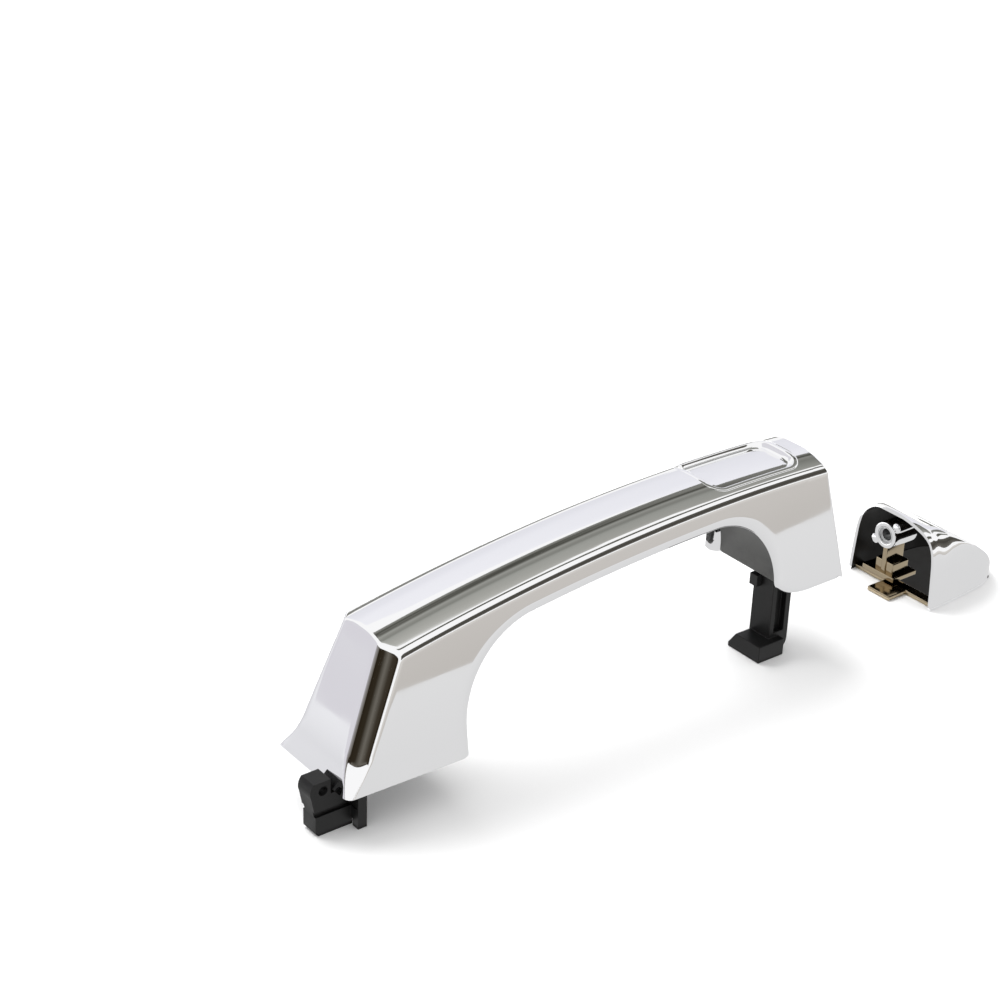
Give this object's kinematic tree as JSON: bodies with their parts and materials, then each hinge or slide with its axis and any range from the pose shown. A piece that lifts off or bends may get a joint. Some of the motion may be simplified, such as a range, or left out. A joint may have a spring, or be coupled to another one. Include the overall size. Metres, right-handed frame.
{
  "type": "car door handle",
  "caption": "Chromed strap handle for a car door with a pivot hook, a hooked pull leg and a separate end cap.",
  "frame": {"origin": "middle of the pivot bore in the front hook", "axes": "+X from the pivot to the rear end of the strap, +Z out from the door, +Y across the handle along the pivot"},
  "size_m": [0.2881, 0.0409, 0.0705],
  "materials": {
    "chrome_shell": "bright chrome plating over moulded plastic",
    "satin_liner": "satin dark grey",
    "gasket_rubber": "matte black",
    "black_nylon": "fine-grained black, glass-filled",
    "screw_steel": "zinc plated",
    "chrome_cap": "bright chrome plating over moulded plastic",
    "insert_steel": "bright steel"
  },
  "bodies": {
    "end_cap": {"cap_shell": "chrome_cap", "cap_screw_insert": "insert_steel"},
    "strap": {"outer_shell": "chrome_shell", "grip_liner": "satin_liner", "front_gasket": "gasket_rubber", "pivot_hook": "black_nylon", "pull_leg": "black_nylon", "foot_screws": "screw_steel", "leg_bumper": "gasket_rubber"}
  },
  "joints": [
    {"name": "strap_pull", "type": "hinge", "parent": "end_cap", "child": "strap", "pos_m": [0, 0, 0], "axis": [0, -1, 0], "range_deg": [0, 12]}
  ]
}
